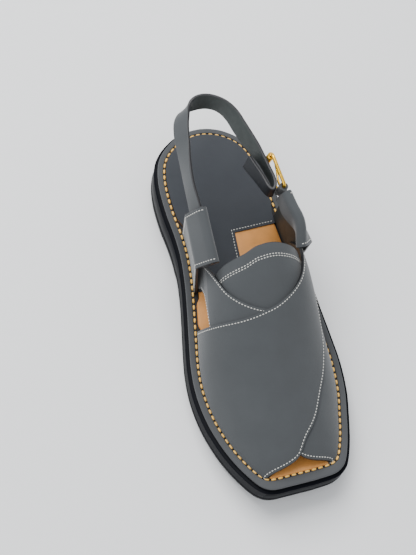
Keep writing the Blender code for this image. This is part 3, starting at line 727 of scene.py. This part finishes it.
def make_heel_sock():
    """The grey leather over the footbed, with its stepped front edge and its stitches."""
    front = rows(SOCK_FRONT)
    step_at, step_end = front[1, 1], front[2, 1]
    back = sock_side(0.0, -1)[1]
    behind, along_step = SOCK_ROWS
    first = np.linspace(0.0, 1.0, behind) ** 2 * (back - place_y(front[0, 1])) * -1 + back
    second = place_y(np.linspace(step_at, step_end, along_step))
    y = np.concatenate([first, second])
    left, right = sock_side(y, -1)[0], sock_side(y, 1)[0]
    step = np.interp(along(y), [step_at, step_end], front[1:3, 0] * BALL_HALF)
    right = np.where(np.arange(len(y)) < len(first), right, step)
    t = np.linspace(0.0, 1.0, SOCK_COLUMNS)[None]
    x = left[:, None] * (1 - t) + right[:, None] * t
    wide_y = np.repeat(y[:, None], t.shape[1], axis=1)
    low = np.stack([x, wide_y, insole_top(wide_y) + SOCK_GAP], axis=-1)
    high = low + [0.0, 0.0, SOCK_THICK]
    sock = shell_object("heel_sock_shown", low, high, [sock_grey, edge_black, lining], SOCK_ROUND)
    inner, outer = sock_side(place_y(step_end), -1)[0], sock_side(place_y(step_at), 1)[0]
    in_line = [(float(inner) + EDGE_INSET, place_y(step_end) + EDGE_INSET),
               (front[2, 0] * BALL_HALF - EDGE_INSET, place_y(step_end) + EDGE_INSET),
               (front[1, 0] * BALL_HALF - EDGE_INSET, place_y(step_at) + EDGE_INSET),
               (float(outer) - EDGE_INSET, place_y(front[0, 1]) + EDGE_INSET)]
    plan = []
    for (ax, ay), (bx, by) in zip(in_line, in_line[1:]):
        for k in np.linspace(0.0, 1.0, SOCK_LINE_POINTS):
            plan.append((ax + (bx - ax) * k, ay + (by - ay) * k))
    plan = np.array(plan)
    line = lift(plan, insole_top(plan[:, 1]) + SOCK_GAP + SOCK_THICK)
    place, ahead = by_length(line, EDGE_PITCH)
    up = np.tile([0.0, 0.0, 1.0], (len(place), 1))
    stitches = dashes("stitches_sock", place, ahead, up, EDGE_DASH, EDGE_THREAD,
                      EDGE_THREAD_FLAT, edge_thread, EDGE_THREAD_SINK)
    return sock, stitches


def make_welt_stitches():
    """The thick yellow stitches in the groove, all round."""
    ring = offset_ring(-(rim_width(edge_ring()[:, 1]) + WELT_STITCH_OFF))
    line = lift(ring, welt_base(ring[:, 1]) + WELT_THICK - WELT_STITCH_LOW)
    place, ahead = by_length(line, WELT_PITCH, closed=True)
    up = np.tile([0.0, 0.0, 1.0], (len(place), 1))
    return dashes("welt_stitches", place, ahead, up, WELT_DASH, WELT_CORD, WELT_CORD_FLAT,
                  welt_thread, WELT_STITCH_SINK)


# Upper

def edge_curve(points, count):
    """Even points on a panel's edge, where a share along counts as twice a share across."""
    line = smooth(points, EDGE_CURVE_STEPS)
    step = np.linalg.norm(np.diff(line * [1.0, 2.0], axis=0), axis=1)
    run = np.concatenate([[0.0], np.cumsum(step)])
    at = np.linspace(0.0, run[-1], count)
    return np.column_stack([np.interp(at, run, line[:, k]) for k in range(2)])


def panel_grid():
    """(across, along) of a crossing panel's grid, blended between its four edges."""
    na, nl = PANEL_GRID
    back = edge_curve(rows(PANEL_BACK), na)
    front = edge_curve(rows(PANEL_FRONT), na)
    down = (1.0 - np.linspace(1.0, 0.0, nl) ** PANEL_SPREAD)[:, None]
    start = back[0] * (1 - down) + front[0] * down
    end = np.column_stack([np.linspace(back[-1][k], front[-1][k], nl) for k in range(2)])
    s = np.linspace(0.0, 1.0, na)[:, None, None]
    t = np.linspace(0.0, 1.0, nl)[None, :, None]
    sides = (1 - s) * start[None] + s * end[None]
    ends = (1 - t) * back[:, None] + t * front[:, None]
    corners = ((1 - s) * (1 - t) * start[0] + (1 - s) * t * start[-1]
               + s * (1 - t) * end[0] + s * t * end[-1])
    return sides + ends - corners


def over_rise(a):
    """How much of its layer a panel has climbed, from none at the welts."""
    climb = np.minimum(1.0, (1.0 - np.abs(a)) / CLIMB)
    return climb * climb * (3.0 - 2.0 * climb)


def crease_depth(across, share):
    """Depth of the soft creases at places on the arch; ridges count as negative."""
    start, span = CREASE_SPAN
    depth = np.zeros(across.shape)
    spot = np.stack([across * BALL_HALF, share * LENGTH], axis=-1)
    for row in rows(CREASES):
        a = np.array([row[0] * BALL_HALF, row[1] * LENGTH])
        b = np.array([row[2] * BALL_HALF, row[3] * LENGTH])
        t = np.clip(((spot - a) @ (b - a)) / ((b - a) @ (b - a)), 0.0, 1.0)
        off = np.linalg.norm(spot - a - t[..., None] * (b - a), axis=-1)
        depth += row[5] * np.exp(-(off / row[4]) ** 2) * np.sin(math.pi * (start + span * t))
    return depth


def panel_sheets(side, layer):
    """Inner and outer face of a crossing panel, lowered by a wall at its narrow end."""
    grid = panel_grid()
    across = np.clip(grid[..., 0], -1.0, 1.0)
    tuck = np.clip((across - TUCK_START) / (TUCK_END - TUCK_START), 0.0, 1.0)
    rise = layer * over_rise(across) - (WALL + CLEARANCE) * tuck
    rise -= crease_depth(across * -side, grid[..., 1])
    low = arch_points(grid[..., 1], across * -side, rise)
    high = arch_points(grid[..., 1], across * -side, rise + WALL)
    return low, high


def inset_line(grid, edge, inset):
    """A line of points on a grid, a fixed distance inside its back or its front edge."""
    lines = grid if edge == "back" else grid[:, ::-1]
    step = np.linalg.norm(np.diff(lines, axis=1), axis=2)
    run = np.concatenate([np.zeros((len(lines), 1)), np.cumsum(step, axis=1)], axis=1)
    out = [[np.interp(inset, run[i], lines[i, :, k]) for k in range(3)] for i in range(len(lines))]
    return np.array(out)


def surface_normals(grid, points):
    """Normals of the grid's surface next to points, by the nearest grid point."""
    du = np.gradient(grid, axis=0)
    dv = np.gradient(grid, axis=1)
    normal = np.cross(du, dv)
    normal /= np.linalg.norm(normal, axis=2)[..., None] + 1e-12
    flat, normals = grid.reshape(-1, 3), normal.reshape(-1, 3)
    near = [int(np.argmin(((flat - p) ** 2).sum(axis=1))) for p in points]
    return normals[near]


def edge_stitches(name, grid, line, outward_hint):
    """Fine stitches along a line on a leather's outer face."""
    place, ahead = by_length(line, EDGE_PITCH)
    up = surface_normals(grid, place)
    up *= np.sign((up * outward_hint).sum(axis=1))[:, None]
    return dashes(name, place + up * EDGE_THREAD_LIFT, ahead, up, EDGE_DASH, EDGE_THREAD,
                  EDGE_THREAD_FLAT, edge_thread, EDGE_THREAD_SINK)


def make_upper():
    """The two crossing panels, one over the other, and the stitches along their edges."""
    under_low, under_high = panel_sheets(1, 0.0)
    under = shell_object("panel_under", under_low, under_high, LEATHER)
    over_low, over_high = panel_sheets(-1, LAYER_STEP)
    over = shell_object("panel_over", over_low, over_high, LEATHER)
    made = [under, over]
    up = np.array([0.0, 0.0, 1.0])
    first, last = PANEL_LINE_ENDS
    for name, grid in (("under", under_high), ("over", over_high)):
        for edge in ("back", "front"):
            line = inset_line(grid, edge, EDGE_INSET)[first:-last]
            made.append(edge_stitches(f"stitches_{name}_{edge}", grid, line, up))
    return made


def make_tongue():
    """The tongue under the panels, with two rows of stitches below its top edge."""
    data = rows(TONGUE_EDGE)
    na, nl = TONGUE_GRID
    across = np.linspace(data[0, 0], data[-1, 0], na)
    top = curve_value(TONGUE_EDGE, 1, across)
    bottom = curve_value(TONGUE_EDGE, 2, across)
    t = np.linspace(0.0, 1.0, nl)[None]
    share = top[:, None] * (1 - t) + bottom[:, None] * t
    wide = np.repeat(across[:, None], nl, axis=1)
    low = arch_points(share, wide, np.full(share.shape, -CLEARANCE - TONGUE_WALL))
    high = arch_points(share, wide, np.full(share.shape, -CLEARANCE))
    tongue = shell_object("tongue_shown", low, high, LEATHER)
    made = [tongue]
    for k, inset in enumerate(TONGUE_INSETS):
        line = inset_line(high, "back", inset)[LINE_END:-LINE_END]
        made.append(edge_stitches(f"stitches_tongue_{k}", high, line, np.array([0.0, 0.0, 1.0])))
    return made


# Strap, loops and buckle

def route_frames(route, steps):
    """Middle points of a strap with its outward and upward directions, from a route."""
    line = smooth(rows(route), steps)
    points = [Vector((a * BALL_HALF, place_y(s), h * STRAP_HEIGHT)) for a, s, h in line[:, :3]]
    frames = []
    for i, point in enumerate(points):
        ahead = points[min(i + 1, len(points) - 1)] - points[max(i - 1, 0)]
        ahead.normalize()
        level = Vector((-ahead.y, ahead.x, 0.0)).normalized()
        upright = ahead.cross(level)
        if upright.z < 0.0:
            upright = -upright
        to_side, to_back = (math.tan(math.radians(a)) for a in line[i, 3:])
        up = upright + Vector((to_side, to_back, 0.0))
        up = (up - ahead * up.dot(ahead)).normalized()
        frames.append((point, up.cross(ahead), up))
    return frames


def make_back_strap():
    """The strap round the heel, with near-black painted shade on the flat faces of its tail, where
    it has turned back.
    """
    corner = STRAP_CORNER
    w, t = STRAP_WIDTH / 2, STRAP_THICK / 2
    section = []
    for cx, cy, start in ((w - corner, t - corner, 0), (-w + corner, t - corner, 90),
                          (-w + corner, -t + corner, 180), (w - corner, -t + corner, 270)):
        for k in range(5):
            turn = math.radians(start + 22.5 * k)
            section.append((cx + corner * math.cos(turn), cy + corner * math.sin(turn)))
    m = len(section)
    frames = route_frames(STRAP_ROUTE, STRAP_STEPS)
    verts, faces, slots = [], [], []
    for point, side, up in frames:
        for u, v in section:
            verts.append(tuple(point + side * v + up * u))
    for i in range(len(frames) - 1):
        for j in range(m):
            k = (j + 1) % m
            faces.append((i * m + j, i * m + k, (i + 1) * m + k, (i + 1) * m + j))
            v = 0.5 * (section[j][1] + section[k][1])
            flat = abs(v) > t - STRAP_FACE
            face = (0 if v > 0 else 2) if flat else 1
            # slot 3: painted shade on the flat faces of the tail
            slots.append(3 if flat and i >= TAIL_ROW * STRAP_STEPS else face)
    faces.append(tuple(range(m)))
    faces.append(tuple((len(frames) - 1) * m + j for j in range(m)))
    slots += [1, 1]
    return mesh_object("back_strap_shown", verts, outward(verts, faces),
                       [upper_grey, edge_black, strap_inside, tail_painted_shade], slots)


def make_strap_loop(name, route, foot_span, side):
    """A sleeve folded over the strap; its outer side runs down into the groove."""
    half_thick = STRAP_THICK / 2 + LOOP_GAP + LOOP_WALL / 2
    half_high = STRAP_WIDTH / 2 + LOOP_GAP + LOOP_WALL / 2
    frames = route_frames(route, LOOP_STEPS)
    foot_inset = LIP_WIDTH + CHANNEL_WIDTH - FOOT_ROOM - LOOP_WALL / 2
    fold = smooth(rows(LOOP_FOLD), FOLD_STEPS)
    grid = []
    for i, (middle, across, up) in enumerate(frames):
        out = across if across.x * side > 0.0 else -across
        row = [middle + out * half_thick * a + up * half_high * b for a, b in fold]
        share = np.interp(i, [0, len(frames) - 1], foot_span)
        y = float(place_y(share))
        x = float(half_width(y, side, foot_inset))
        foot = Vector((x, y, float(channel_floor(y)) + CLEARANCE))
        last = row[-1]
        for k in np.linspace(LOOP_WALL_START, 1.0, LOOP_WALL_ROWS):
            row.append(last.lerp(foot, float(k)))
        grid.append([tuple(p) for p in row])
    grid = np.array(grid)
    normal = np.cross(np.gradient(grid, axis=0), np.gradient(grid, axis=1))
    normal /= np.linalg.norm(normal, axis=2)[..., None]
    outer_face = grid + normal * LOOP_WALL / 2
    inner_face = grid - normal * LOOP_WALL / 2
    if (normal[:, -1, 0] * side).mean() < 0.0:
        outer_face, inner_face = inner_face, outer_face
    obj = shell_object(name, inner_face, outer_face, LEATHER)
    made = [obj]
    hint = np.array([side, 0.0, 0.2])
    for edge, grid_edge in (("broad", "back"), ("narrow", "front")):
        line = inset_line(outer_face.transpose(1, 0, 2), grid_edge, LOOP_INSET)
        keep = line[len(fold) // 2 + LINE_END:-LINE_END]
        made.append(edge_stitches(f"stitches_{name}_{edge}", outer_face, keep, hint))
    return made


def wire_object(name, points, radius, mat, closed=False):
    """A round wire along points."""
    sides = WIRE_SIDES
    count = len(points)
    verts, faces = [], []
    for i, point in enumerate(points):
        before = points[i - 1] if closed or i else points[0]
        after = points[(i + 1) % count] if closed or i < count - 1 else points[-1]
        ahead = (after - before).normalized()
        side = ahead.cross(Vector((1.0, 0.0, 0.0))).normalized()
        up = side.cross(ahead)
        for j in range(sides):
            turn = 2 * math.pi * j / sides
            verts.append(tuple(point + side * radius * math.cos(turn)
                               + up * radius * math.sin(turn)))
    for i in range(count if closed else count - 1):
        n = (i + 1) % count
        for j in range(sides):
            k = (j + 1) % sides
            faces.append((i * sides + j, i * sides + k, n * sides + k, n * sides + j))
    if not closed:
        faces.append(tuple(range(sides)))
        faces.append(tuple((count - 1) * sides + j for j in range(sides)))
    return mesh_object(name, verts, outward(verts, faces), [mat])


def buckle_axes():
    """Middle of the buckle's front bar, its way back along the strap, and its way up."""
    frames = route_frames(OUTER_LOOP_ROUTE, 2)
    mouth, side, up = frames[-1]
    back = (mouth - frames[-2][0]).normalized()
    back = (back - up * back.dot(up)).normalized()
    return mouth + back * BAR_REACH, back, up


def make_buckle():
    """The buckle's frame, its roller on the rear bar and its prong."""
    front, back, up = buckle_axes()
    out = back.cross(up)
    if out.x < 0.0:
        out = -out
    half = BUCKLE_HEIGHT / 2
    corners = [(0.0, -half), (BUCKLE_LENGTH, -half), (BUCKLE_LENGTH, half), (0.0, half)]
    path = []
    for i, (a, b) in enumerate(corners):
        here = Vector((a, b))
        to_before = (Vector(corners[i - 1]) - here).normalized() * BUCKLE_CORNER
        to_after = (Vector(corners[(i + 1) % 4]) - here).normalized() * BUCKLE_CORNER
        for k in range(CORNER_STEPS + 1):
            t = k / CORNER_STEPS
            spot = here + to_before * (1 - t) ** 2 + to_after * t ** 2
            path.append(front + back * spot.x + up * spot.y)
    ring = wire_object("buckle_frame_shown", path, WIRE / 2, brass, closed=True)

    rear = front + back * BUCKLE_LENGTH
    roller_half = half - BUCKLE_CORNER
    inner = WIRE / 2 + CLEARANCE
    soft = ROLLER_ROUND
    section = [(inner, -roller_half), (ROLLER_RADIUS - soft, -roller_half),
               (ROLLER_RADIUS, -roller_half + soft), (ROLLER_RADIUS, roller_half - soft),
               (ROLLER_RADIUS - soft, roller_half), (inner, roller_half)]
    sides = ROLLER_SIDES
    verts, faces = [], []
    for r, h in section:
        for j in range(sides):
            turn = 2 * math.pi * j / sides
            verts.append(tuple(rear + (out * math.cos(turn) + back * math.sin(turn)) * r + up * h))
    for i in range(len(section)):
        n = (i + 1) % len(section)
        for j in range(sides):
            k = (j + 1) % sides
            faces.append((i * sides + j, i * sides + k, n * sides + k, n * sides + j))
    roller = mesh_object("buckle_roller_shown", verts, outward(verts, faces), [brass])

    radius = PRONG_WIRE / 2
    start = WIRE / 2 + CLEARANCE + radius
    over = ROLLER_RADIUS + CLEARANCE + radius
    bend_at, bend_up = PRONG_BEND
    prong = [(start, 0.0), (start + PRONG_STRAIGHT, 0.0),
             (BUCKLE_LENGTH * bend_at, over * bend_up), (BUCKLE_LENGTH - radius, over),
             (BUCKLE_LENGTH + radius, over)]
    points = [front + back * a + out * b for a, b in smooth(prong, 8)]
    tine = wire_object("buckle_prong_shown", points, radius, brass)
    return ring, roller, tine


def paint(node, *materials):
    """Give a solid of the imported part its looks."""
    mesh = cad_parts[node].data
    mesh.materials.clear()
    for mat in materials:
        mesh.materials.append(mat)


outsole = make_outsole()
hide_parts("outsole")
welt = make_welt()
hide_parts("welt")
insole = make_insole()
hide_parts("insole")
sock = make_heel_sock()
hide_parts("heel_sock")
stitches = make_welt_stitches()
upper = make_upper()
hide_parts("upper")
tongue = make_tongue()
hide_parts("tongue")
inner_loop = make_strap_loop("strap_loop_inner_shown", STRAP_ROUTE[:INNER_LOOP_ROWS + 1],
                             INNER_LOOP_FOOT, -1)
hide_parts("strap_loop_inner")
outer_loop = make_strap_loop("strap_loop_outer_shown", OUTER_LOOP_ROUTE, OUTER_LOOP_FOOT, 1)
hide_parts("strap_loop_outer")
strap = make_back_strap()
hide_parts("back_strap")
buckle = make_buckle()
for obj, node in zip(buckle, ("buckle_frame", "buckle_roller", "buckle_prong")):
    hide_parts(node)
paint("buckle_chape", upper_grey)

shown = [outsole, welt, insole, *sock, stitches, *upper, *tongue, *inner_loop, *outer_loop,
         strap, *buckle]
for obj in shown:
    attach(obj, "root")


# Floor, light and camera

def camera_axes():
    """The camera's right, up and back, from its tilt and roll."""
    lat, lon = (math.radians(a) for a in CAMERA_TILT)
    roll = math.radians(CAMERA_ROLL)
    back = Vector((-math.tan(lat), -math.tan(lon), 1.0)).normalized()
    up = (Vector((0.0, 1.0, 0.0)) - back * back.y).normalized()
    right = up.cross(back)
    turned_right = right * math.cos(roll) + up * math.sin(roll)
    turned_up = up * math.cos(roll) - right * math.sin(roll)
    return turned_right, turned_up, back


def make_camera():
    """The photo's view of the shoe."""
    right, up, back = camera_axes()
    place = (back * CAMERA_DISTANCE + Vector((0.0, 0.0, CAMERA_AIM_HEIGHT))
             + right * CAMERA_SHIFT[0] + up * CAMERA_SHIFT[1])
    data = bpy.data.cameras.new("camera")
    data.sensor_fit = "AUTO"
    data.sensor_width = SENSOR
    data.lens = SENSOR * FOCAL_PIXELS / PHOTO_HEIGHT
    cam = bpy.data.objects.new("camera", data)
    bpy.context.scene.collection.objects.link(cam)
    matrix = Matrix((right, up, back)).transposed().to_4x4()
    matrix.translation = place
    cam.matrix_world = matrix
    bpy.context.scene.camera = cam


def area_light(name, place, size, power):
    """A square white lamp aimed at the shoe."""
    data = bpy.data.lights.new(name, "AREA")
    data.shape = "SQUARE"
    data.size = size
    data.energy = power
    obj = bpy.data.objects.new(name, data)
    bpy.context.scene.collection.objects.link(obj)
    obj.location = place
    obj.rotation_mode = "QUATERNION"
    obj.rotation_quaternion = (Vector(LIGHT_AIM) - Vector(place)).to_track_quat("-Z", "Y")
    return obj


make_camera()

floor_mat = new_material("floor", FLOOR_WHITE, roughness=0.85)
floor_corners = [(x * FLOOR_HALF, y * FLOOR_HALF, 0.0)
                 for x, y in ((-1, -1), (1, -1), (1, 1), (-1, 1))]
floor = mesh_object("floor", floor_corners, [(0, 1, 2, 3)], [floor_mat])

world = bpy.data.worlds.new("studio")
bpy.context.scene.world = world
world.use_nodes = True
world.node_tree.nodes["Background"].inputs["Color"].default_value = ROOM_COLOUR
world.node_tree.nodes["Background"].inputs["Strength"].default_value = ROOM_STRENGTH
area_light("key", *KEY_LIGHT)
area_light("fill", *FILL_LIGHT)
